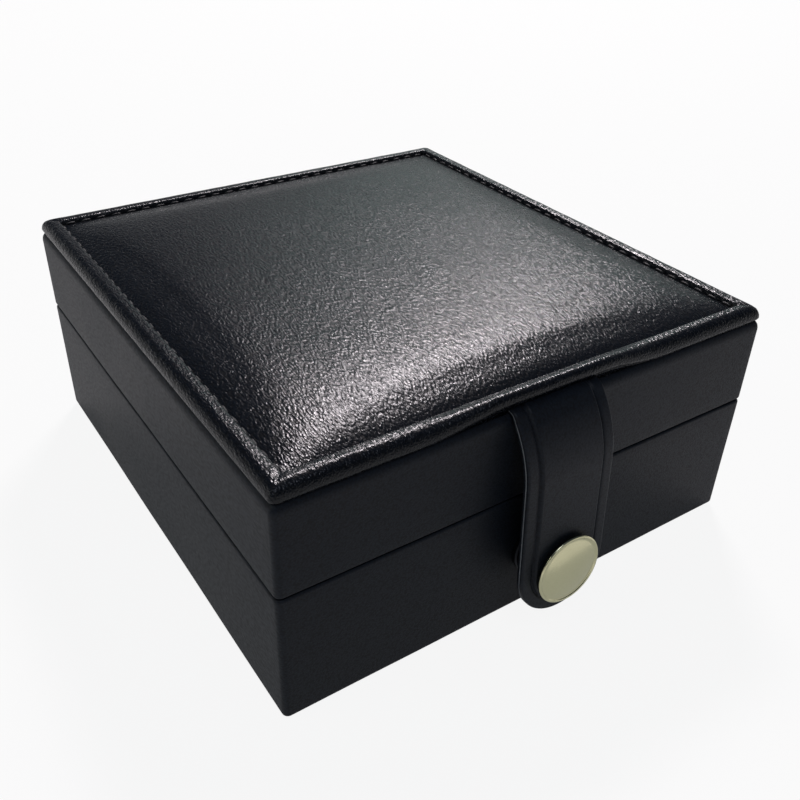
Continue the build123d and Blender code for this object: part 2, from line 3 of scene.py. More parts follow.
import bmesh
import bpy
import numpy as np
from mathutils import Matrix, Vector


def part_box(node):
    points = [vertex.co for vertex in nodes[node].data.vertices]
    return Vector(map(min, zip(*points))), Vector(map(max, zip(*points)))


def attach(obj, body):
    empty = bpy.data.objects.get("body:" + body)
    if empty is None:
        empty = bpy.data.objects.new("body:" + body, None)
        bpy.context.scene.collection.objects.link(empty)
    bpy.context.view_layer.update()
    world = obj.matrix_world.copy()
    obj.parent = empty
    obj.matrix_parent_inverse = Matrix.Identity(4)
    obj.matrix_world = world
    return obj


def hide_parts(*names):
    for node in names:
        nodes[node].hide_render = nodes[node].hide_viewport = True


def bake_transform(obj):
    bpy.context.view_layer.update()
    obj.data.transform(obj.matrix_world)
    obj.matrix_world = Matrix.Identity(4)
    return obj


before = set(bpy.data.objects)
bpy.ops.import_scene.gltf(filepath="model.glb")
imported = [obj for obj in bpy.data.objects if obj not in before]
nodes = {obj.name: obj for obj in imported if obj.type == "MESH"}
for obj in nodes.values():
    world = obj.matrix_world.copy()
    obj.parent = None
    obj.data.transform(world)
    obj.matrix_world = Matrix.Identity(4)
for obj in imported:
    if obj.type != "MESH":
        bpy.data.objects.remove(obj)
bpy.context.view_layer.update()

# Sizes in millimetres, the same as the solids have

MM = 0.001
BOX_WIDTH, BOX_DEPTH = 106.0, 113.0
BASE_BOTTOM, BASE_TOP = 0.5, 27.75
LID_BOTTOM, SHELL_TOP = 28.05, 46.2
CORNER_RADIUS = 1.2
SKIN = 0.7
BOARD = 4.0
BASE_TURN_IN = 8.0
LID_TURN_IN = 10.0
FRONT = -BOX_DEPTH / 2
LEAF_WIDTH, LEAF_THICKNESS = 4.7, 0.8

STITCH_INSET = 4.0
GROOVE_HEIGHT = 1.7
COVER_CROWN = 2.6
CARD_TOP = 47.2
RIM_INSET = 0.2
RIM_FOOT_INSET = 0.9
RIM_HEIGHT = 2.7
RIM_CORNER_RADIUS = 1.5
LIFT_START, LIFT_END = 10.5, 26.0
RIM_LIFT = 1.7
STITCH_PITCH = 3.4
STITCH_LENGTH = 2.4
STITCH_CORNER_GAP = 0.8

SEAT_WIDTH, SEAT_DEPTH = 94.4, 101.4
SEAT_BOTTOM, SEAT_TOP = 4.9, 21.75
WELL_Y, WELL_RADIUS, WELL_DEPTH = 4.0, 27.0, 12.5
BOW_SLOT_WIDTH, BOW_SLOT_END, BOW_SLOT_DEPTH = 15.0, 49.0, 8.0
NOTCH_RADIUS, NOTCH_DEPTH = 9.0, 9.0
TROUGH_Y, TROUGH_WIDTH, TROUGH_LENGTH, TROUGH_DEPTH = -37.0, 72.0, 15.0, 10.0
PAD_TOP, PAD_EDGE, PAD_CROWN = 41.8, 5.0, 2.4

STRAP_WIDTH = 19.2
STRAP_LAYER = 0.8
STRAP_BORDER = 2.6
STRAP_START_ANGLE, STRAP_HANG_ANGLE = 35.0, 3.5
STRAP_BEND_RADIUS = 19.5
STRAP_PIVOT = np.array([-57.5, 44.9])
BUTTON_HEIGHT = 14.4
CAP_RADIUS = 7.0

# Sizes in millimetres that follow the photo where the solids have 1.0 and 0.7

SHOULDER_RADIUS = 2.0
STRAP_PAD = 0.4

# Sizes in millimetres that only the scene has, or that it has a little larger than the solids

SKIN_EDGE = 0.55
SKIN_RIPPLE = 0.035
LEAF_ROOM, LEAF_ROOM_BEHIND = 0.5, 0.3
THREAD_RADIUS = 0.26
CHANNEL_DEPTH = 0.36
RIM_HEEL_INSET = 1.15
RIM_LOW = -0.32
RIM_CREST_INSET = 2.3
RIM_SHOULDER_INSET = 3.25
GRAIN = 0.35

# The camera that was solved from the box's corners: its place in box widths, its three axes and
# its lens in millimetres

CAMERA_PLACE = (-0.87436288, -1.36485141, 1.20735792)
CAMERA_RIGHT = (0.83156636, -0.55488935, 0.02439649)
CAMERA_DOWN = (-0.28972062, -0.47081743, -0.83330241)
CAMERA_AHEAD = (0.47387693, 0.68587809, -0.55227883)
CAMERA_LENS = 40.6


# Making meshes


def finish_mesh(name, mesh):
    """An object for the mesh, with doubles merged, faces turned outwards and smooth shading."""
    work = bmesh.new()
    work.from_mesh(mesh)
    bmesh.ops.remove_doubles(work, verts=work.verts, dist=2e-6)
    open_edges = [edge for edge in work.edges if edge.is_boundary]
    if open_edges:
        bmesh.ops.holes_fill(work, edges=open_edges, sides=0)
    bmesh.ops.recalc_face_normals(work, faces=work.faces)
    work.to_mesh(mesh)
    work.free()
    mesh.shade_smooth()
    piece = bpy.data.objects.new(name, mesh)
    bpy.context.scene.collection.objects.link(piece)
    return piece


def grid_piece(name, points, round_rows=False, round_columns=False, second_finish=()):
    """A piece from a grid of points in millimetres, shaped (rows, columns, 3).

    Each cell of the grid is one four-sided face, and a round direction joins its end to its start.
    Columns of cells listed in second_finish take the piece's second material.
    """
    rows, columns = points.shape[:2]
    i = np.arange(rows if round_rows else rows - 1)[:, None]
    j = np.arange(columns if round_columns else columns - 1)[None, :]
    below, beside = (i + 1) % rows, (j + 1) % columns
    corners = [i * columns + j, below * columns + j, below * columns + beside, i * columns + beside]
    faces = np.stack(np.broadcast_arrays(*corners), -1).reshape(-1, 4)
    mesh = bpy.data.meshes.new(name)
    mesh.from_pydata((points.reshape(-1, 3) * MM).tolist(), [], faces.tolist())
    second = np.broadcast_to(np.isin(j, second_finish), (len(i), j.size))
    mesh.polygons.foreach_set("material_index", second.ravel().astype(np.int32))
    return finish_mesh(name, mesh)


def many_copies(name, points, faces):
    """One mesh from (copies, points, 3) positions in millimetres, all with the same faces."""
    copies, count = points.shape[:2]
    shift = (np.arange(copies) * count)[:, None, None]
    all_faces = (faces[None] + shift).reshape(-1, faces.shape[1])
    mesh = bpy.data.meshes.new(name)
    mesh.from_pydata((points.reshape(-1, 3) * MM).tolist(), [], all_faces.tolist())
    return finish_mesh(name, mesh)


def apply_modifiers(piece):
    """Bakes the piece's modifiers into its mesh."""
    graph = bpy.context.evaluated_depsgraph_get()
    baked = bpy.data.meshes.new_from_object(piece.evaluated_get(graph))
    piece.modifiers.clear()
    piece.data = baked
    return piece


def cut_boxes(piece, boxes):
    """Cuts upright boxes, given by their low and high corners in metres, out of the piece."""
    corner = np.array([[x, y, z] for x in (0, 1) for y in (0, 1) for z in (0, 1)])
    faces = np.array(
        [[0, 1, 3, 2], [4, 6, 7, 5], [0, 4, 5, 1], [2, 3, 7, 6], [0, 2, 6, 4], [1, 5, 7, 3]]
    )
    low = np.array([np.array(a) for a, b in boxes])
    high = np.array([np.array(b) for a, b in boxes])
    points = (low[:, None] + corner[None] * (high - low)[:, None]) / MM
    cutter = many_copies("cutter", points, faces)
    cut = piece.modifiers.new("cut", "BOOLEAN")
    cut.operation, cut.solver, cut.object = "DIFFERENCE", "EXACT", cutter
    apply_modifiers(piece)
    bpy.data.objects.remove(cutter)
    piece.data.shade_smooth()
    piece.data.set_sharp_from_angle(angle=radians(40))


def ripple(x, y, z, seed, size):
    """Slow, shallow waves between -1 and 1: three crossed sines whose length is about size."""
    turn = np.array([0.0, 1.9, 4.1]) + seed
    total = 0
    for k, angle in enumerate(turn):
        length = size * (0.75 + 0.3 * k)
        along = x * cos(angle) + y * sin(angle) + z * cos(1.7 * angle)
        total = total + np.sin(2 * pi * along / length + 3.1 * angle)
    return total / 3


def ease(t):
    """Smooth step from 0 to 1: 3t² - 2t³."""
    t = np.clip(t, 0, 1)
    return t * t * (3 - 2 * t)


# Rounded rectangle paths


def rectangle_rings(insets, width, depth, radius, side_count=60):
    """Points on nested rounded rectangles, shaped (path, inset, 2).

    They run anticlockwise from the front left. A ring drawn in by an inset has the outer radius
    less the inset, and never under the least one. Each corner is an arc about its own centre, and
    each side is a straight mix of two arc ends.
    """
    corner_count, least = 10, 0.12
    radii = np.maximum(radius - insets, least)
    half = np.stack([width / 2 - insets - radii, depth / 2 - insets - radii], -1)
    signs = np.array([[-1, -1], [1, -1], [1, 1], [-1, 1]])
    arcs = []
    for corner, start in enumerate((pi, 1.5 * pi, 0, 0.5 * pi)):
        angle = start + np.linspace(0, pi / 2, corner_count)
        spoke = np.stack([np.cos(angle), np.sin(angle)], -1)
        arcs.append(signs[corner] * half[None] + radii[None, :, None] * spoke[:, None])
    path = []
    mix = np.linspace(0, 1, side_count)[1:-1, None, None]
    for corner in range(4):
        ahead = arcs[(corner + 1) % 4]
        path += [arcs[corner], (1 - mix) * arcs[corner][-1][None] + mix * ahead[0][None]]
    return np.concatenate(path)


def arc(cx, cy, radius, start, stop, count=7):
    """Points on an arc, with angles in degrees, shaped (count, 2)."""
    angle = np.radians(np.linspace(start, stop, count))
    return np.stack([cx + radius * np.cos(angle), cy + radius * np.sin(angle)], -1)


def run(first, last, count):
    """Points on a straight run without its last one, shaped (count, 2)."""
    mix = np.linspace(0, 1, count, endpoint=False)[:, None]
    return (1 - mix) * np.array(first) + mix * np.array(last)


def skin_piece(name, profile):
    """A closed profile of (inset, height) points carried round the box.

    Slow ripples push each point in or out, as in leatherette over board.
    """
    flat = rectangle_rings(profile[:, 0], BOX_WIDTH, BOX_DEPTH, CORNER_RADIUS)
    heights = np.broadcast_to(profile[:, 1], flat.shape[:2])
    points = np.concatenate([flat, heights[..., None]], -1)
    x, y, z = points[..., 0], points[..., 1], points[..., 2]
    outward = points[..., :2] / np.linalg.norm(points[..., :2], axis=-1, keepdims=True)
    points[..., :2] += SKIN_RIPPLE * outward * ripple(x, y, z, 0.4, 31.0)[..., None]
    return grid_piece(name, points, round_rows=True, round_columns=True)


# Base and lid skins: leatherette over the boards, with its edges turned in


def base_skin():
    """Up the wall, round the edge, over the boards, back down behind it and under the floor."""
    edge, foot = SKIN_EDGE, 0.8
    inner = SKIN + BOARD
    profile = np.concatenate(
        [
            run((SKIN + BASE_TURN_IN, BASE_BOTTOM), (foot, BASE_BOTTOM), 5),
            arc(foot, BASE_BOTTOM + foot, foot, 270, 180),
            run((0, BASE_BOTTOM + foot + 0.3), (0, BASE_TOP - edge - 0.3), 14),
            arc(edge, BASE_TOP - edge, edge, 180, 90),
            run((edge + 0.3, BASE_TOP), (inner - 0.3, BASE_TOP), 4),
            arc(inner - 0.3, BASE_TOP - 0.3, 0.3, 90, 0, 4),
            run((inner, BASE_TOP - SKIN), (SKIN, BASE_TOP - SKIN), 2),
            run((SKIN, BASE_TOP - SKIN), (SKIN, BASE_BOTTOM + SKIN), 3),
            run((SKIN, BASE_BOTTOM + SKIN), (SKIN + BASE_TURN_IN, BASE_BOTTOM + SKIN), 2),
            [(SKIN + BASE_TURN_IN, BASE_BOTTOM + SKIN)],
        ]
    )
    return skin_piece("base_skin", profile)


def lid_skin():
    """As the base's skin, the other way up, with a rounded shoulder under the top cover."""
    edge, shoulder = SKIN_EDGE, SHOULDER_RADIUS
    inner = SKIN + BOARD
    turn_in = SKIN + LID_TURN_IN
    profile = np.concatenate(
        [
            run((turn_in, SHELL_TOP), (shoulder, SHELL_TOP), 4),
            arc(shoulder, SHELL_TOP - shoulder, shoulder, 90, 180),
            run((0, SHELL_TOP - shoulder - 0.3), (0, LID_BOTTOM + edge + 0.3), 10),
            arc(edge, LID_BOTTOM + edge, edge, 180, 270),
            run((edge + 0.3, LID_BOTTOM), (inner - 0.3, LID_BOTTOM), 4),
            arc(inner - 0.3, LID_BOTTOM + 0.3, 0.3, 270, 360, 4),
            run((inner, LID_BOTTOM + SKIN), (SKIN, LID_BOTTOM + SKIN), 2),
            run((SKIN, LID_BOTTOM + SKIN), (SKIN, SHELL_TOP - SKIN), 3),
            run((SKIN, SHELL_TOP - SKIN), (turn_in, SHELL_TOP - SKIN), 2),
            [(turn_in, SHELL_TOP - SKIN)],
        ]
    )
    return skin_piece("lid_skin", profile)


# Top cover: rolled rim, sewn groove and padded crown


def rim_lift(x):
    """Height that the strap's root lifts the front rim: full over the strap, easing to nothing."""
    return RIM_LIFT * (1 - ease((np.abs(x) - LIFT_START) / (LIFT_END - LIFT_START)))


def rim_piece():
    """The rim's round profile carried round the box.

    Along the front, each point is raised by the lift times its share of the way out from the
    stitches, and its heel stays down, which leaves a dark hollow under the raised part. The
    corners are drawn in along the mitre, and the raw edge wavers a little.
    """
    foot, heel, low = RIM_FOOT_INSET, RIM_HEEL_INSET, RIM_LOW
    crest, shoulder = RIM_CREST_INSET, RIM_SHOULDER_INSET
    outer = arc(0, 0, 1, 178, 92, 16) * (crest - RIM_INSET, RIM_HEIGHT - 0.4) + (crest, 0.4)
    profile = np.concatenate(
        [
            arc(foot - 0.1, low + 0.12, 0.12, 270, 175, 4),
            run((foot - 0.3, low + 0.3), (RIM_INSET + 0.03, 0.25), 2),
            outer,
            run((crest, RIM_HEIGHT), (shoulder, RIM_HEIGHT - 0.03), 2),
            arc(shoulder, RIM_HEIGHT - 0.68, 0.65, 90, 12, 7),
            [(STITCH_INSET, GROOVE_HEIGHT - 0.1), (STITCH_INSET + 0.15, 1.15)],
            [(STITCH_INSET, 0.0), (heel, low), (heel - 0.05, low)],
        ]
    )
    flat = rectangle_rings(profile[:, 0], BOX_WIDTH, BOX_DEPTH, RIM_CORNER_RADIUS, 150)
    x, y = flat[..., 0], flat[..., 1]
    inset, height = profile[:, 0], profile[:, 1]
    share = (STITCH_INSET - inset) / (STITCH_INSET - RIM_INSET)
    front_strip = 6.0
    at_front = y < FRONT + front_strip
    lift = np.where(at_front, rim_lift(x), 0) * np.clip(share, 0, 1)
    lift[:, -3:-1] = 0
    skewed = np.abs(BOX_WIDTH / 2 - np.abs(x) - (BOX_DEPTH / 2 - np.abs(y)))
    mitre = np.exp(-((skewed / 0.5) ** 2)) * (np.clip(height, 0, 2) / 2)
    z = SHELL_TOP + height + lift - 0.13 * mitre
    wobble = 0.05 * ripple(x, y, 0, 2.2, 9.0) + 0.03 * ripple(x, y, 0, 5.0, 3.7)
    z = z + wobble * np.clip(share, 0, 1) * np.clip(height + 0.6, 0, 1)
    points = np.stack([x, y, z], -1)
    return grid_piece("top_rim", points, round_rows=True, round_columns=True)


def crown_rise(distance, run_in):
    """Share of the crown reached at a distance from the sewn line.

    A quarter of it rises in a tight roll out of the seam, and the rest eases in over the run-in:
    each is its share of 1 - e^(-distance / length).
    """
    distance = np.maximum(distance, 0)
    return 0.25 * (1 - np.exp(-distance / 1.3)) + 0.75 * (1 - np.exp(-distance / run_in))


def padded_grid(width, depth, crown, run_in, columns, rows):
    """Grid of a taut pad over (width, depth), with lines that crowd towards its edges.

    Height is the crown, times the share that each pair of edges lets it rise, times a dome: one
    less 0.12 times the sum of the squares of the ways out from the middle. run_in gives the
    run-ins across and along, and the crowding is a power of 1.25.
    """
    bend = 1.25
    u, v = np.linspace(-1, 1, columns), np.linspace(-1, 1, rows)
    x = np.sign(u) * (1 - (1 - np.abs(u)) ** bend) * width / 2
    y = np.sign(v) * (1 - (1 - np.abs(v)) ** bend) * depth / 2
    x, y = np.meshgrid(x, y)
    across = crown_rise(width / 2 - np.abs(x), run_in[0]) / crown_rise(width / 2, run_in[0])
    along = crown_rise(depth / 2 - np.abs(y), run_in[1]) / crown_rise(depth / 2, run_in[1])
    dome = 1 - 0.12 * ((2 * x / width) ** 2 + (2 * y / depth) ** 2)
    return np.stack([x, y, crown * across * along * dome], -1)


def puff(grid, pressure, limit):
    """Cloth simulation of a pad's skin, held at its sewn edge and blown up from inside.

    It runs at ten times the size. Each point's move is then eased to stay under the limit: the
    move times the limit, over the root of the sum of both squares.
    """
    rows, columns = grid.shape[:2]
    scale, frames = 10.0, 20
    sheet = open_sheet("puff", grid * scale)
    edge = np.zeros((rows, columns), bool)
    edge[[0, -1]] = True
    edge[:, [0, -1]] = True
    sewn = sheet.vertex_groups.new(name="sewn")
    sewn.add(np.flatnonzero(edge).tolist(), 1.0, "REPLACE")
    cloth = sheet.modifiers.new("cloth", "CLOTH")
    settings = cloth.settings
    settings.quality = 6
    settings.mass = 0.3
    settings.tension_stiffness = 18
    settings.compression_stiffness = 10
    settings.shear_stiffness = 6
    settings.bending_stiffness = 2.0
    settings.vertex_group_mass = "sewn"
    settings.use_pressure = True
    settings.uniform_pressure_force = pressure
    settings.effector_weights.gravity = 0
    scene = bpy.context.scene
    for step in range(1, frames + 1):
        scene.frame_set(step)
    graph = bpy.context.evaluated_depsgraph_get()
    blown = sheet.evaluated_get(graph).to_mesh()
    flat = np.empty(len(blown.vertices) * 3, np.float32)
    blown.vertices.foreach_get("co", flat)
    moved = flat.reshape(grid.shape) / (scale * MM) - grid
    scene.frame_set(1)
    bpy.data.objects.remove(sheet)
    length = np.linalg.norm(moved, axis=-1, keepdims=True)
    return grid + moved * limit / np.hypot(limit, length)


def open_sheet(name, points):
    """A sheet from a grid of points in millimetres, left open at its edges, in the grid's order."""
    rows, columns = points.shape[:2]
    i, j = np.arange(rows - 1)[:, None], np.arange(columns - 1)[None, :]
    first = i * columns + j
    corners = [first, first + 1, first + columns + 1, first + columns]
    faces = np.stack(np.broadcast_arrays(*corners), -1).reshape(-1, 4)
    mesh = bpy.data.meshes.new(name)
    mesh.from_pydata((points.reshape(-1, 3) * MM).tolist(), [], faces.tolist())
    sheet = bpy.data.objects.new(name, mesh)
    bpy.context.scene.collection.objects.link(sheet)
    return sheet


def closed_pad(name, top, steps):
    """A pad from its top grid and rings round its edge, closed underneath.

    Each (out, down) step copies the edge, moves the copy out and lowers it.
    """
    for out, down in steps:
        top = np.pad(top, ((1, 1), (1, 1), (0, 0)), mode="edge")
        top[:, 0, 0] -= out
        top[:, -1, 0] += out
        top[0, :, 1] -= out
        top[-1, :, 1] += out
        top[[0, -1], :, 2] -= down
        top[1:-1, [0, -1], 2] -= down
    return grid_piece(name, top)


def crown_piece():
    """The padded crown: a taut grid over the sewn rectangle, blown up, with a hidden skirt."""
    width, depth = BOX_WIDTH - 2 * STITCH_INSET, BOX_DEPTH - 2 * STITCH_INSET
    top = padded_grid(width, depth, COVER_CROWN + 0.2, (6.0, 6.0), 124, 132)
    top[..., 2] += SHELL_TOP + GROOVE_HEIGHT - 0.12
    top = puff(top, 0.3, 0.25)
    slack = 0.06 * ripple(top[..., 0], top[..., 1], 0, 1.1, 42.0)
    top[..., 2] += slack * np.clip((top[..., 2] - SHELL_TOP - GROOVE_HEIGHT) / 1.5, 0, 1)
    skirt = SHELL_TOP + GROOVE_HEIGHT - 0.42 - CARD_TOP - 0.03
    return closed_pad("top_crown", top, [(0.0, 0.3), (0.0, skirt)])


def stitches_piece():
    """Short bowed rods along the groove, each a run of rings, rounded and sunk at both ends.

    With t from -1 to 1 along a rod, its girth goes by the root of one less t to the sixth, and its
    middle line sinks by t to the fourth. The rods slant by up to four degrees, on a sine.
    """
    rings, sides = 7, 8
    t = np.linspace(-1, 1, rings)
    angle = np.linspace(0, 2 * pi, sides, endpoint=False)
    girth = THREAD_RADIUS * np.sqrt(np.maximum(1 - t**6, 0.02))
    bow = 0.05 - 0.2 * t**4
    rod = np.stack(
        [
            np.broadcast_to(t[:, None] * STITCH_LENGTH / 2, (rings, sides)),
            girth[:, None] * np.cos(angle) * 1.15,
            girth[:, None] * np.sin(angle) + bow[:, None],
        ],
        -1,
    ).reshape(-1, 3)
    i, j = np.arange(rings - 1)[:, None], np.arange(sides)[None, :]
    k = (j + 1) % sides
    corners = [i * sides + j, i * sides + k, (i + 1) * sides + k, (i + 1) * sides + j]
    faces = np.stack(np.broadcast_arrays(*corners), -1).reshape(-1, 4)
    groove = SHELL_TOP + GROOVE_HEIGHT + 0.1
    spans = [(BOX_WIDTH, BOX_DEPTH / 2), (BOX_DEPTH, BOX_WIDTH / 2)] * 2
    places = []
    for side, (length, half_span) in enumerate(spans):
        room = length - 2 * (STITCH_INSET + STITCH_CORNER_GAP) - STITCH_LENGTH
        count = int(room / STITCH_PITCH) + 1
        offset = np.linspace(-room / 2, room / 2, count)
        slant = radians(4) * np.sin(1.7 * np.arange(count) + side)
        c, s = np.cos(slant), np.sin(slant)
        along, across, rise = rod[None, :, 0], rod[None, :, 1], rod[None, :, 2]
        local = np.stack(
            [
                offset[:, None] + along * c[:, None] - across * s[:, None],
                STITCH_INSET - half_span + along * s[:, None] + across * c[:, None],
                np.broadcast_to(groove + rise, (count, len(rod))),
            ],
            -1,
        )
        turn = side * pi / 2
        spin = np.array([[cos(turn), sin(turn), 0], [-sin(turn), cos(turn), 0], [0, 0, 1]])
        places.append(local @ spin)
    return many_copies("sewn_thread", np.concatenate(places), faces)


# Strap: one band from under the rim, over the front edge, down to its cut tip


def strap_path():
    """Middle line of the strap in (y, z), its outward normals, and its reach past the button.

    The tail lies flat, turns over the front edge as a cubic curve, then follows the solids' short
    lead, wide bend and straight fall. Past the button's centre the points crowd towards the round
    tip, at half the width times the sine of evenly spaced angles.
    """
    count_root, count_bend, count_fall, count_tip = 26, 30, 36, 40
    start, hang = radians(STRAP_START_ANGLE), radians(STRAP_HANG_ANGLE)
    lead = np.array([-sin(start), -cos(start)])
    t = np.linspace(0, 1, count_root, endpoint=False)[:, None]
    points = np.array([[-52.4, 46.72], [-56.9, 46.75], STRAP_PIVOT - 1.5 * lead, STRAP_PIVOT])
    root = (
        (1 - t) ** 3 * points[0]
        + 3 * (1 - t) ** 2 * t * points[1]
        + 3 * (1 - t) * t**2 * points[2]
        + t**3 * points[3]
    )
    bend_start = STRAP_PIVOT + lead
    centre = bend_start - STRAP_BEND_RADIUS * np.array([-cos(start), sin(start)])
    angle = np.linspace(start, hang, count_bend, endpoint=False)[:, None]
    bend = centre + STRAP_BEND_RADIUS * np.concatenate([-np.cos(angle), np.sin(angle)], -1)
    bend_end = centre + STRAP_BEND_RADIUS * np.array([-cos(hang), sin(hang)])
    along = np.array([-sin(hang), -cos(hang)])
    length = (bend_end[1] - BUTTON_HEIGHT) / cos(hang)
    fall = bend_end + along * np.linspace(0, length, count_fall, endpoint=False)[:, None]
    past = STRAP_WIDTH / 2 * np.sin(np.radians(np.linspace(0, 88.6, count_tip)))
    tip = bend_end + along * (length + past)[:, None]
    line = np.concatenate([root, bend, fall, tip])
    ahead = np.gradient(line, axis=0)
    ahead /= np.linalg.norm(ahead, axis=1, keepdims=True)
    normal = np.stack([ahead[:, 1], -ahead[:, 0]], -1)
    reach = np.concatenate([np.zeros(len(line) - count_tip), past])
    return line, normal, reach


def strap_piece():
    """A flat band with a raised panel, from its distance to the nearest cut edge.

    Height over the middle line is the outer layer, rounded at the cut edge, pressed in along a
    channel and raised inside it. The back is flat, rounded at the cut edge as well. The cut edge
    shows a strip of the grey core between the two layers, coloured light as a painted highlight.
    """
    line, normal, reach = strap_path()
    length = np.concatenate([[0], np.cumsum(np.linalg.norm(np.diff(line, axis=0), axis=1))])
    half = STRAP_WIDTH / 2
    marks = np.concatenate(
        [
            [0, 0.04, 0.12, 0.24, 0.4, 0.7, 1.1, 1.6, 2.05],
            [2.2, 2.32, 2.44, 2.56, 2.68, 2.8, 2.92, 3.04, 3.16, 3.3, 3.5],
            [3.9, 4.8, 6.0, 7.4, 8.6, half],
        ]
    )
    share = 1 - marks / half
    across = np.concatenate([-share, share[::-1][1:]])
    x = across[None] * np.sqrt(half**2 - reach**2)[:, None]
    from_edge = np.maximum(half - np.hypot(x, reach[:, None]), 0)
    round_edge = 0.35
    drop = round_edge - np.sqrt(round_edge**2 - np.maximum(round_edge - from_edge, 0) ** 2)
    border, panel = STRAP_LAYER, STRAP_LAYER + STRAP_PAD
    channel = CHANNEL_DEPTH * np.exp(-(((from_edge - STRAP_BORDER + 0.14) / 0.2) ** 2))
    raised = (panel - border) * ease((from_edge - STRAP_BORDER + 0.05) / 0.5)
    full = 0.55 + 0.45 * ease((length - 2.0) / 5.5)[:, None]
    outer = (border - drop + raised - channel) * full
    inner = (-STRAP_LAYER + drop) * full
    core = np.broadcast_to([0.12, -0.12], (len(x), 2)) * full
    around = np.concatenate([x, x[:, [-1, -1]], x[:, ::-1], x[:, [0, 0]]], axis=1)
    offset = np.concatenate([outer, core, inner[:, ::-1], -core], axis=1)[..., None]
    flat = line[:, None] + normal[:, None] * offset
    loop = np.concatenate([around[..., None], flat], axis=-1)
    count = x.shape[1]
    core_and_highlight_columns = (count, 2 * count + 2)
    return grid_piece("strap_band", loop, round_columns=True, second_finish=core_and_highlight_columns)


# Button


def lathe(name, profile, offset):
    """A profile of (radius, rise) points turned about the button's axis, rising off the strap."""
    around = 72
    tilt = radians(STRAP_HANG_ANGLE)
    low = strap_path()[0][-1]
    along = np.array([-sin(tilt), -cos(tilt)])
    out = np.array([-cos(tilt), sin(tilt)])
    centre = low - along * (BUTTON_HEIGHT - low[1]) / cos(tilt)
    angle = np.linspace(0, 2 * pi, around, endpoint=False)
    radius, rise = profile[:, 0], profile[:, 1] + offset
    x = radius[:, None] * np.cos(angle)
    up = radius[:, None] * np.sin(angle)
    y = centre[0] + out[0] * rise[:, None] - along[0] * up
    z = centre[1] + out[1] * rise[:, None] - along[1] * up
    points = np.stack([x, y, z], -1)
    return grid_piece(name, points, round_columns=True)


def cap_piece():
    """A shallow dome inside a thin rolled rim, turned under at the back.

    The dome stands highest in the middle and falls with the square of the way to the lip.
    """
    radius = CAP_RADIUS
    lip = radius - 0.62
    reach = np.linspace(0.0, lip, 18)
    dome = np.stack([reach, 1.2 + 0.8 * (1 - (reach / lip) ** 2)], -1)
    roll = arc(radius - 0.3, 1.1, 0.3, 150, -60, 12)
    under = [(radius - 0.45, 0.35), (radius - 0.8, 0.02), (4.5, 0.02), (4.5, 0.3), (0.0, 0.3)]
    profile = np.concatenate([dome, roll, np.array(under)])
    return lathe("cap_shell", profile, STRAP_LAYER + STRAP_PAD)


# Watch seat and the lid's inner pad


def box_distance(x, y, cx, cy, half_x, half_y, radius):
    """Signed distance to a rectangle with rounded corners: negative inside."""
    dx = np.abs(x - cx) - half_x + radius
    dy = np.abs(y - cy) - half_y + radius
    outside = np.hypot(np.maximum(dx, 0), np.maximum(dy, 0))
    return outside + np.minimum(np.maximum(dx, dy), 0) - radius


def hollows(x, y):
    """Signed distances to the seat's hollows, each with its depth."""
    slot_half = (BOW_SLOT_END - WELL_Y) / 2
    well = np.hypot(x, y - WELL_Y) - WELL_RADIUS
    slot = box_distance(x, y, 0, WELL_Y + slot_half, BOW_SLOT_WIDTH / 2, slot_half, 2.0)
    notches = np.hypot(np.abs(x) - WELL_RADIUS, y - WELL_Y) - NOTCH_RADIUS
    trough = box_distance(x, y, 0, TROUGH_Y, TROUGH_WIDTH / 2, TROUGH_LENGTH / 2, 2.5)
    return [
        (well, WELL_DEPTH),
        (slot, BOW_SLOT_DEPTH),
        (notches, NOTCH_DEPTH),
        (trough, TROUGH_DEPTH),
    ]


def seat_piece():
    """Velvet over foam: a fine grid whose points near a hollow's outline are drawn onto it.

    The height falls over a rounded lip, drops down the wall and eases into the floor, each by the
    square of what is left of its width, and the outer edge is rounded down the same way.
    """
    step = 0.56
    columns, rows = int(SEAT_WIDTH / step), int(SEAT_DEPTH / step)
    x, y = np.meshgrid(
        np.linspace(-SEAT_WIDTH / 2, SEAT_WIDTH / 2, columns),
        np.linspace(-SEAT_DEPTH / 2, SEAT_DEPTH / 2, rows),
    )
    tiny = 1e-3
    for index in (0, 2, 1, 3):
        distance = hollows(x, y)[index][0]
        slope_x = (hollows(x + tiny, y)[index][0] - distance) / tiny
        slope_y = (hollows(x, y + tiny)[index][0] - distance) / tiny
        near = (np.abs(distance) < 0.52 * step).astype(float)
        near[[0, -1]] = 0
        near[:, [0, -1]] = 0
        x = x - near * distance * slope_x
        y = y - near * distance * slope_y
    z = np.full(x.shape, SEAT_TOP)
    lip, lip_drop = 1.5, 0.9
    foot, foot_rise = 1.6, 0.8
    for distance, depth in hollows(x, y):
        roll = lip_drop * np.clip(1 - distance / lip, 0, 1) ** 2
        floor_rise = foot_rise * np.clip(1 + distance / foot, 0, 1) ** 2
        inside = distance < -0.25 * step
        z = np.minimum(z, np.where(inside, SEAT_TOP - depth + floor_rise, SEAT_TOP - roll))
    edge = np.minimum(SEAT_WIDTH / 2 - np.abs(x), SEAT_DEPTH / 2 - np.abs(y))
    border, border_drop = 2.4, 1.2
    z = z - border_drop * np.clip(1 - edge / border, 0, 1) ** 2
    z = z + 0.05 * ripple(x, y, 0, 3.3, 17.0)
    top = np.stack([x, y, z], -1)
    return closed_pad("velvet_seat", top, [(0.0, SEAT_TOP - 1.3 - SEAT_BOTTOM - 0.05)])


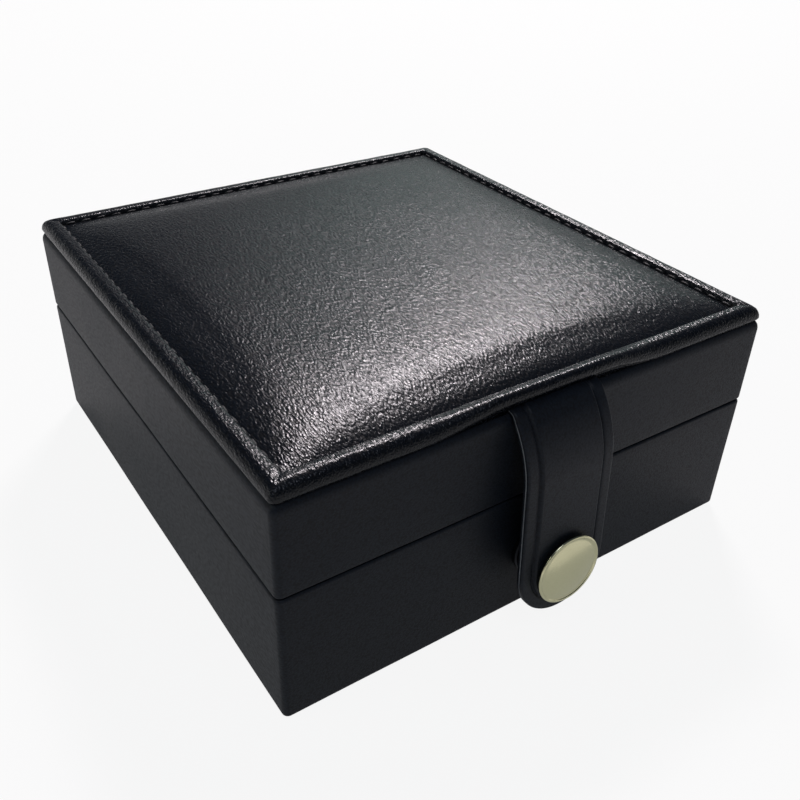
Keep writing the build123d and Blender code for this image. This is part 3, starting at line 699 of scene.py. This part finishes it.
def lid_pad_piece():
    """Satin pad, crowned downwards: the top cover's form turned over, with full rounded sides.

    Its skin puckers a little beside its edges: a sine along the edge that fades with distance.
    """
    width, depth = SEAT_WIDTH - 1.2, SEAT_DEPTH - 1.2
    grid = padded_grid(width, depth, PAD_CROWN + 0.3, (8.0, 8.0), 84, 90)
    grid = puff(grid, 0.5, 0.4)
    x, y = grid[..., 0], grid[..., 1]
    height, fade = 0.1, 5
    pucker = height * np.sin(x * 1.9) * np.exp(-(depth / 2 - np.abs(y)) / fade)
    pucker = pucker + height * np.sin(y * 1.8) * np.exp(-(width / 2 - np.abs(x)) / fade)
    grid[..., 2] += PAD_EDGE - 0.6 + pucker
    piece = closed_pad("lid_pad", grid, [(0.35, 0.2), (0.2, 0.5), (0.0, PAD_EDGE - 1.45)])
    points = np.empty(len(piece.data.vertices) * 3, np.float32)
    piece.data.vertices.foreach_get("co", points)
    points = points.reshape(-1, 3)
    points[:, 1] *= -1
    points[:, 2] = PAD_TOP * MM - points[:, 2]
    piece.data.vertices.foreach_set("co", points.ravel())
    piece.data.update()
    return piece


# Materials


def linear(colour):
    """Linear RGBA of an sRGB hex value."""
    parts = np.array([int(colour[k : k + 2], 16) for k in (1, 3, 5)]) / 255
    parts = np.where(parts <= 0.04045, parts / 12.92, ((parts + 0.055) / 1.055) ** 2.4)
    return (*parts.tolist(), 1.0)


def add(tree, kind, inputs=None, stops=(), **settings):
    """Adds a node with its settings and (position, hex) stops, and sets or links its inputs."""
    made = tree.nodes.new(kind)
    for name, value in settings.items():
        setattr(made, name, value)
    for place, (position, colour) in enumerate(stops):
        made.color_ramp.elements[place].position = position
        made.color_ramp.elements[place].color = linear(colour)
    for name, value in (inputs or {}).items():
        if isinstance(value, bpy.types.NodeSocket):
            tree.links.new(value, made.inputs[name])
        else:
            made.inputs[name].default_value = value
    return made


def material(name):
    """An empty material, its node tree, and its Object coordinates."""
    made = bpy.data.materials.new(name)
    made.use_nodes = True
    tree = made.node_tree
    tree.nodes.clear()
    where = add(tree, "ShaderNodeTexCoord").outputs["Object"]
    return made, tree, where


def leatherette(name, dark, light, depth_mm, roughness, shine):
    """Polyurethane leatherette: a black coat embossed with a long, fine pebble grain.

    The emboss is domed cells that run together, stretched and bent by noise, with streaks along
    them. The creases between the cells are duller than the pebbles' polished tops, and painted
    darker as shade. The shine is set under the usual 0.5 to match how dark the real coat looks, not
    measured.
    """
    made, tree, where = material(name)
    scale = 1 / (GRAIN * MM)
    bend = add(
        tree,
        "ShaderNodeTexNoise",
        {"Vector": where, "Scale": 0.35 / (GRAIN * MM), "Detail": 2.0},
    )
    off = add(
        tree,
        "ShaderNodeVectorMath",
        {0: bend.outputs["Color"], 1: (0.5, 0.5, 0.5)},
        operation="SUBTRACT",
    )
    push = add(
        tree,
        "ShaderNodeVectorMath",
        {0: off.outputs[0], "Scale": 1.1 * GRAIN * MM},
        operation="SCALE",
    )
    moved = add(tree, "ShaderNodeVectorMath", {0: where, 1: push.outputs[0]}, operation="ADD")
    stretch = add(
        tree, "ShaderNodeMapping", {"Vector": moved.outputs[0], "Scale": (1.0, 0.34, 1.0)}
    )
    cells = add(
        tree,
        "ShaderNodeTexVoronoi",
        {"Vector": stretch.outputs[0], "Scale": scale, "Smoothness": 0.3},
        feature="SMOOTH_F1",
    )
    pebble = add(
        tree,
        "ShaderNodeMapRange",
        {"Value": cells.outputs["Distance"], "From Min": 0.8, "From Max": 0.0},
    )
    streak = add(
        tree,
        "ShaderNodeTexNoise",
        {"Vector": stretch.outputs[0], "Scale": 1.3 * scale, "Detail": 1.0},
    )
    height = add(
        tree,
        "ShaderNodeMath",
        {0: streak.outputs[0], 1: 1.1, 2: pebble.outputs[0]},
        operation="MULTIPLY_ADD",
    )
    bump = add(
        tree,
        "ShaderNodeBump",
        {"Height": height.outputs[0], "Strength": 1.0, "Distance": depth_mm * MM},
    )
    cloud = add(tree, "ShaderNodeTexNoise", {"Vector": where, "Scale": 45.0, "Detail": 4.0})
    # A random cloudy tone, plus painted shade that darkens the creases between the pebbles
    tone_and_crease_shade = add(
        tree,
        "ShaderNodeMath",
        {0: cloud.outputs[0], 1: 0.6, 2: pebble.outputs[0]},
        operation="MULTIPLY_ADD",
    )
    stops = [(0.2, dark), (1.3 / 1.6, light)]
    colour = add(tree, "ShaderNodeValToRGB", {"Fac": tone_and_crease_shade.outputs[0]}, stops=stops)
    dull = add(
        tree,
        "ShaderNodeMapRange",
        {"Value": pebble.outputs[0], "To Min": roughness + 0.12, "To Max": roughness},
    )
    smear = add(
        tree,
        "ShaderNodeMath",
        {0: cloud.outputs[0], 1: 0.06, 2: dull.outputs[0]},
        operation="MULTIPLY_ADD",
    )
    coat = add(
        tree,
        "ShaderNodeBsdfPrincipled",
        {
            "Base Color": colour.outputs["Color"],
            "Roughness": smear.outputs[0],
            "Normal": bump.outputs[0],
            "IOR": 1.5,
            "Specular IOR Level": shine,
        },
    )
    add(tree, "ShaderNodeOutputMaterial", {"Surface": coat.outputs[0]})
    return made


def pile(name, dark, light, tuft_mm, sheen):
    """Velvet: short upright pile, soft and matte, pale where it leans away, faintly brushed."""
    made, tree, where = material(name)
    brush = add(
        tree,
        "ShaderNodeTexNoise",
        {"Vector": where, "Scale": 60.0, "Detail": 5.0, "Distortion": 0.6},
    )
    colour = add(
        tree, "ShaderNodeValToRGB", {"Fac": brush.outputs[0]}, stops=[(0.3, dark), (0.7, light)]
    )
    tufts = add(
        tree,
        "ShaderNodeTexNoise",
        {"Vector": where, "Scale": 1 / (tuft_mm * MM), "Detail": 2.0},
    )
    bump = add(
        tree,
        "ShaderNodeBump",
        {"Height": tufts.outputs[0], "Strength": 0.6, "Distance": 0.12 * MM},
    )
    cloth = add(
        tree,
        "ShaderNodeBsdfPrincipled",
        {
            "Base Color": colour.outputs["Color"],
            "Roughness": 0.9,
            "Normal": bump.outputs[0],
            "IOR": 1.45,
            "Sheen Weight": sheen,
            "Sheen Roughness": 0.35,
            "Sheen Tint": linear(light),
        },
    )
    add(tree, "ShaderNodeOutputMaterial", {"Surface": cloth.outputs[0]})
    return made


def weave(name, dark, light, thread_mm, roughness):
    """Satin: long smooth floats over a fine weave, drawn at twice its real pitch to show."""
    made, tree, where = material(name)
    scale = 1 / (thread_mm * MM) / 3.2
    warp, weft = [
        add(
            tree,
            "ShaderNodeTexWave",
            {"Vector": where, "Scale": scale, "Distortion": 0.5, "Detail": 1.0},
            bands_direction=axis,
        ).outputs["Fac"]
        for axis in ("X", "Y")
    ]
    crossing = add(tree, "ShaderNodeMath", {0: warp, 1: weft}, operation="MULTIPLY")
    colour = add(
        tree, "ShaderNodeValToRGB", {"Fac": crossing.outputs[0]}, stops=[(0.1, dark), (0.8, light)]
    )
    bump = add(
        tree,
        "ShaderNodeBump",
        {"Height": crossing.outputs[0], "Strength": 0.4, "Distance": 0.06 * MM},
    )
    cloth = add(
        tree,
        "ShaderNodeBsdfPrincipled",
        {
            "Base Color": colour.outputs["Color"],
            "Roughness": roughness,
            "Normal": bump.outputs[0],
            "IOR": 1.5,
            "Sheen Weight": 0.25,
            "Sheen Roughness": 0.4,
        },
    )
    add(tree, "ShaderNodeOutputMaterial", {"Surface": cloth.outputs[0]})
    return made


def metal(name, dark, light, roughness, grain_mm=0.4, depth_mm=0.002):
    """Metal with fine scratches: noise stretched one way varies its tone, polish and surface."""
    made, tree, where = material(name)
    stretch = add(tree, "ShaderNodeMapping", {"Vector": where, "Scale": (1.0, 6.0, 6.0)})
    scratch = add(
        tree,
        "ShaderNodeTexNoise",
        {"Vector": stretch.outputs[0], "Scale": 1 / (grain_mm * MM), "Detail": 4.0},
    )
    colour = add(
        tree, "ShaderNodeValToRGB", {"Fac": scratch.outputs[0]}, stops=[(0.25, dark), (0.75, light)]
    )
    rough = add(
        tree,
        "ShaderNodeMapRange",
        {"Value": scratch.outputs[0], "To Min": roughness - 0.05, "To Max": roughness + 0.07},
    )
    bump = add(
        tree,
        "ShaderNodeBump",
        {"Height": scratch.outputs[0], "Strength": 0.5, "Distance": depth_mm * MM},
    )
    plate = add(
        tree,
        "ShaderNodeBsdfPrincipled",
        {
            "Base Color": colour.outputs["Color"],
            "Metallic": 1.0,
            "Roughness": rough.outputs[0],
            "Normal": bump.outputs[0],
        },
    )
    add(tree, "ShaderNodeOutputMaterial", {"Surface": plate.outputs[0]})
    return made


def fibre(name, dark, light, size_mm, roughness=0.85):
    """Pressed fibre, card or foam: speckled, matte, with a shallow grain."""
    made, tree, where = material(name)
    speck = add(
        tree,
        "ShaderNodeTexNoise",
        {"Vector": where, "Scale": 1 / (size_mm * MM), "Detail": 5.0},
    )
    colour = add(
        tree, "ShaderNodeValToRGB", {"Fac": speck.outputs[0]}, stops=[(0.3, dark), (0.7, light)]
    )
    bump = add(
        tree,
        "ShaderNodeBump",
        {"Height": speck.outputs[0], "Strength": 0.5, "Distance": 0.05 * MM},
    )
    body = add(
        tree,
        "ShaderNodeBsdfPrincipled",
        {
            "Base Color": colour.outputs["Color"],
            "Roughness": roughness,
            "Normal": bump.outputs[0],
            "IOR": 1.45,
        },
    )
    add(tree, "ShaderNodeOutputMaterial", {"Surface": body.outputs[0]})
    return made


# Polyurethane coats over the shells, the top cover and the strap. The top's is embossed four or
# five times as deep and polished, so its pebbles glitter, and the other two look dull and dark.

shell_leatherette = leatherette("black_leatherette_shell", "#0b0d12", "#131921", 0.016, 0.4, 0.2)
cover_leatherette = leatherette("black_leatherette_cover", "#07080b", "#0d1117", 0.062, 0.16, 0.25)
strap_leatherette = leatherette("black_leatherette_strap", "#0b0d12", "#141a22", 0.012, 0.38, 0.24)

# Spun polyester: a dull black thread

thread = fibre("black_polyester_thread", "#0a0a0b", "#1c1d20", 0.25, 0.6)

# Polished brass, plated in a pale champagne tone on the button and left golden on the hinges. Both
# reflect the room softly.

champagne = metal("champagne_plated_brass", "#d0cda6", "#dbd8b3", 0.2, 0.6, 0.001)
brass = metal("polished_brass", "#b08a45", "#d6b269", 0.24)

# Black nickel plate on steel: a dark metal with blurred reflections, made near black as painted
# shade, so that the magnet cup beside the strap's edge reads as shadow. Sintered ferrite: a near
# black ceramic without a metal's reflections.

nickel_painted_shade = metal("black_nickel_painted_shade", "#1c1d20", "#2b2d31", 0.38)
ferrite = fibre("sintered_ferrite", "#17181a", "#242628", 0.3, 0.5)

# Woven cut pile, which looks matt and turns pale at a glancing angle, and two satins with a soft
# gloss, of which the lining's is the duller

ivory_velvet = pile("ivory_velvet", "#d6cbb0", "#e2d8c0", 0.35, 0.5)
ivory_satin = weave("ivory_satin", "#cfc5ac", "#eae2cf", 0.3, 0.42)
lining_satin = weave("ivory_lining_satin", "#c9bea4", "#ded5c0", 0.4, 0.6)

# Pressed fibre board, card, open foam, the knit core at the strap's cut edge and felt: all look
# matt and speckled. The core is coloured lighter than it is, as a painted highlight on the edge.

board = fibre("grey_fibre_board", "#6e6355", "#8a7e6e", 0.5)
card = fibre("white_card", "#b9b2a4", "#cdc7ba", 0.4)
foam = fibre("polyether_foam", "#bdbcb6", "#d8d7d2", 0.8, 0.95)
cut_edge_and_highlight = fibre("grey_core_painted_highlight", "#7c8082", "#9a9ea0", 0.2, 0.7)
backing = fibre("black_backing_felt", "#0e0e10", "#1b1b1e", 0.6, 0.95)

# Pieces, the bodies they move with, and the solids they stand for

base_cover = base_skin()
lid_cover = lid_skin()


def leaf_boxes(shell, low_z, high_z):
    """The parts of the two hinge leaves that lie in the shell's edge, a little larger all round."""
    boxes = []
    inner, behind = BOX_DEPTH / 2 - LEAF_WIDTH, BOX_DEPTH / 2 + LEAF_ROOM_BEHIND
    for side in ("left", "right"):
        low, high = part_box(f"hinge_{side}_{shell}_leaf")
        left, right = low.x - 1e-5, high.x + 1e-5
        boxes.append(((left, inner * MM, low_z * MM), (right, behind * MM, high_z * MM)))
    return boxes


cut_boxes(base_cover, leaf_boxes("base", BASE_TOP - LEAF_THICKNESS, BASE_TOP + LEAF_ROOM))
cut_boxes(lid_cover, leaf_boxes("lid", LID_BOTTOM - LEAF_ROOM, LID_BOTTOM + LEAF_THICKNESS))
top_rim = rim_piece()
top_crown = crown_piece()
sewn_thread = stitches_piece()
strap_band = strap_piece()
cap_shell = cap_piece()
velvet_seat = seat_piece()
lid_pad = lid_pad_piece()

pieces = [
    (base_cover, "base", shell_leatherette, "leatherette", ["base_wrap"]),
    (lid_cover, "lid", shell_leatherette, "leatherette", ["lid_wrap"]),
    (top_rim, "lid", cover_leatherette, "leatherette", ["top_cover", "rim_filler"]),
    (top_crown, "lid", cover_leatherette, "leatherette", ["top_cover", "cover_foam"]),
    (sewn_thread, "lid", thread, "thread", ["top_stitching"]),
    (cap_shell, "strap", champagne, "champagne_metal", ["button_cap"]),
    (velvet_seat, "base", ivory_velvet, "velvet", ["insert_velvet", "insert_foam"]),
    (lid_pad, "lid", ivory_satin, "satin", ["lid_pad_cover", "lid_pad_foam"]),
]
for piece, body, finish, slot, stood_for in pieces:
    piece.data.materials.clear()
    piece.data.materials.append(finish)
    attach(piece, body)
    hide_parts(*stood_for)

strap_band.data.materials.append(strap_leatherette)
# The second finish paints a highlight along the strap's cut edges
strap_band.data.materials.append(cut_edge_and_highlight)
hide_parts("strap_root", "strap_face", "strap_padding", "strap_lining")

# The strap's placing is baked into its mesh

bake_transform(strap_band)

node_finishes = {
    "base_lining": lining_satin,
    "lid_lining": lining_satin,
    "bottom_sheet": backing,
    "striker_plate": nickel_painted_shade,
    "striker_rivet": nickel_painted_shade,
    "magnet_cup": nickel_painted_shade,
    "button_rivet": nickel_painted_shade,
    "magnet": ferrite,
}
for name, node in nodes.items():
    if name.startswith("hinge"):
        finish = brass
    elif name.endswith("_board"):
        finish = board
    elif name.endswith("_card"):
        finish = card
    else:
        finish = node_finishes.get(name, foam)
    node.data.materials.clear()
    node.data.materials.append(finish)

# Floor, light and camera

scene = bpy.context.scene


def paper_sweep():
    """A round floor that turns up into a wall: a flat run, a quarter arc and an upright, spun."""
    flat, bend, wall = 2600, 400, 900
    profile = np.concatenate(
        [
            run((0, 0), (flat, 0), 4),
            arc(flat, bend, bend, 270, 360, 12),
            [(flat + bend, wall)],
        ]
    )
    angle = np.linspace(0, 2 * pi, 97)
    radius, rise = profile[:, :1], profile[:, 1:]
    rise = np.broadcast_to(rise, (len(rise), len(angle)))
    points = np.stack([radius * np.cos(angle), radius * np.sin(angle), rise], -1)
    sweep = open_sheet("floor", points)
    sweep.data.shade_smooth()
    return sweep


floor = paper_sweep()
paper, tree = material("white_paper_sweep")[:2]

# The paper is white to the camera. Mirrored and see-through rays get a third of that white, because
# the real box's black leatherette seems to mirror darker surroundings.

MIRRORED_WHITE = 0.35
PAPER_WHITE = 0.9

path = add(tree, "ShaderNodeLightPath").outputs
plain = add(tree, "ShaderNodeBsdfDiffuse", {"Color": linear("#d4d4d2")})
glow = add(tree, "ShaderNodeEmission", {"Color": (1, 1, 1, 1), "Strength": 1.0})
mirrored = add(
    tree,
    "ShaderNodeMath",
    {0: path["Is Glossy Ray"], 1: path["Is Transmission Ray"]},
    operation="MAXIMUM",
)
dimmed = add(
    tree, "ShaderNodeMath", {0: mirrored.outputs[0], 1: MIRRORED_WHITE}, operation="MULTIPLY"
)
seen = add(
    tree,
    "ShaderNodeMath",
    {0: path["Is Camera Ray"], 1: dimmed.outputs[0]},
    operation="MAXIMUM",
)
share = add(tree, "ShaderNodeMath", {0: seen.outputs[0], 1: PAPER_WHITE}, operation="MULTIPLY")
mixed = add(
    tree,
    "ShaderNodeMixShader",
    {0: share.outputs[0], 1: plain.outputs[0], 2: glow.outputs[0]},
)
add(tree, "ShaderNodeOutputMaterial", {"Surface": mixed.outputs[0]})
floor.data.materials.append(paper)

world = bpy.data.worlds.new("room")
scene.world = world
world.use_nodes = True
tree = world.node_tree
tree.nodes.clear()
room = add(tree, "ShaderNodeBackground", {"Color": linear("#a9bbd6"), "Strength": 0.1})
add(tree, "ShaderNodeOutputWorld", {"Surface": room.outputs[0]})


def softbox(name, place, aim, width, height, power, colour):
    """A rectangular lamp at a place in metres, turned to face a point."""
    lamp = bpy.data.lights.new(name, "AREA")
    lamp.shape = "RECTANGLE"
    lamp.size, lamp.size_y = width, height
    lamp.energy = power
    lamp.color = linear(colour)[:3]
    holder = bpy.data.objects.new(name, lamp)
    scene.collection.objects.link(holder)
    place, aim = np.array(place), np.array(aim)
    back = (place - aim) / np.linalg.norm(place - aim)
    right = np.cross((0, 0, 1), back)
    right /= np.linalg.norm(right)
    up = np.cross(back, right)
    holder.matrix_world = Matrix(
        [[right[k], up[k], back[k], place[k]] for k in range(3)] + [[0, 0, 0, 1]]
    )


# The key lamp stands high behind the box on the right and makes the top's highlight. The others
# fill in: a wide low one behind on the right, one on the left and one above the front.

softbox("key", (0.565, 0.72, 0.98), (0.0, -0.02, 0.05), 0.27, 0.18, 16.5, "#fff6fa")
softbox("wall", (1.12, 1.18, 0.64), (0.0, 0.0, 0.05), 1.0, 0.32, 1.2, "#aedcd2")
softbox("left", (-1.3, 0.3, 0.9), (-0.1, 0.0, 0.0), 0.6, 0.6, 3.6, "#f2f6f0")
softbox("front", (-0.25, -0.6, 1.25), (0.0, 0.0, 0.0), 0.5, 0.5, 3.5, "#e6edff")

camera_data = bpy.data.cameras.new("camera")
camera_data.lens = CAMERA_LENS
camera_data.sensor_width = 36.0
camera_data.clip_start = 0.01
camera = bpy.data.objects.new("camera", camera_data)
scene.collection.objects.link(camera)
rows = zip(CAMERA_RIGHT, CAMERA_DOWN, CAMERA_AHEAD, CAMERA_PLACE)
camera.matrix_world = Matrix(
    [[right, -down, -ahead, place * BOX_WIDTH * MM] for right, down, ahead, place in rows]
    + [[0, 0, 0, 1]]
)
scene.camera = camera
scene.view_settings.view_transform = "Standard"
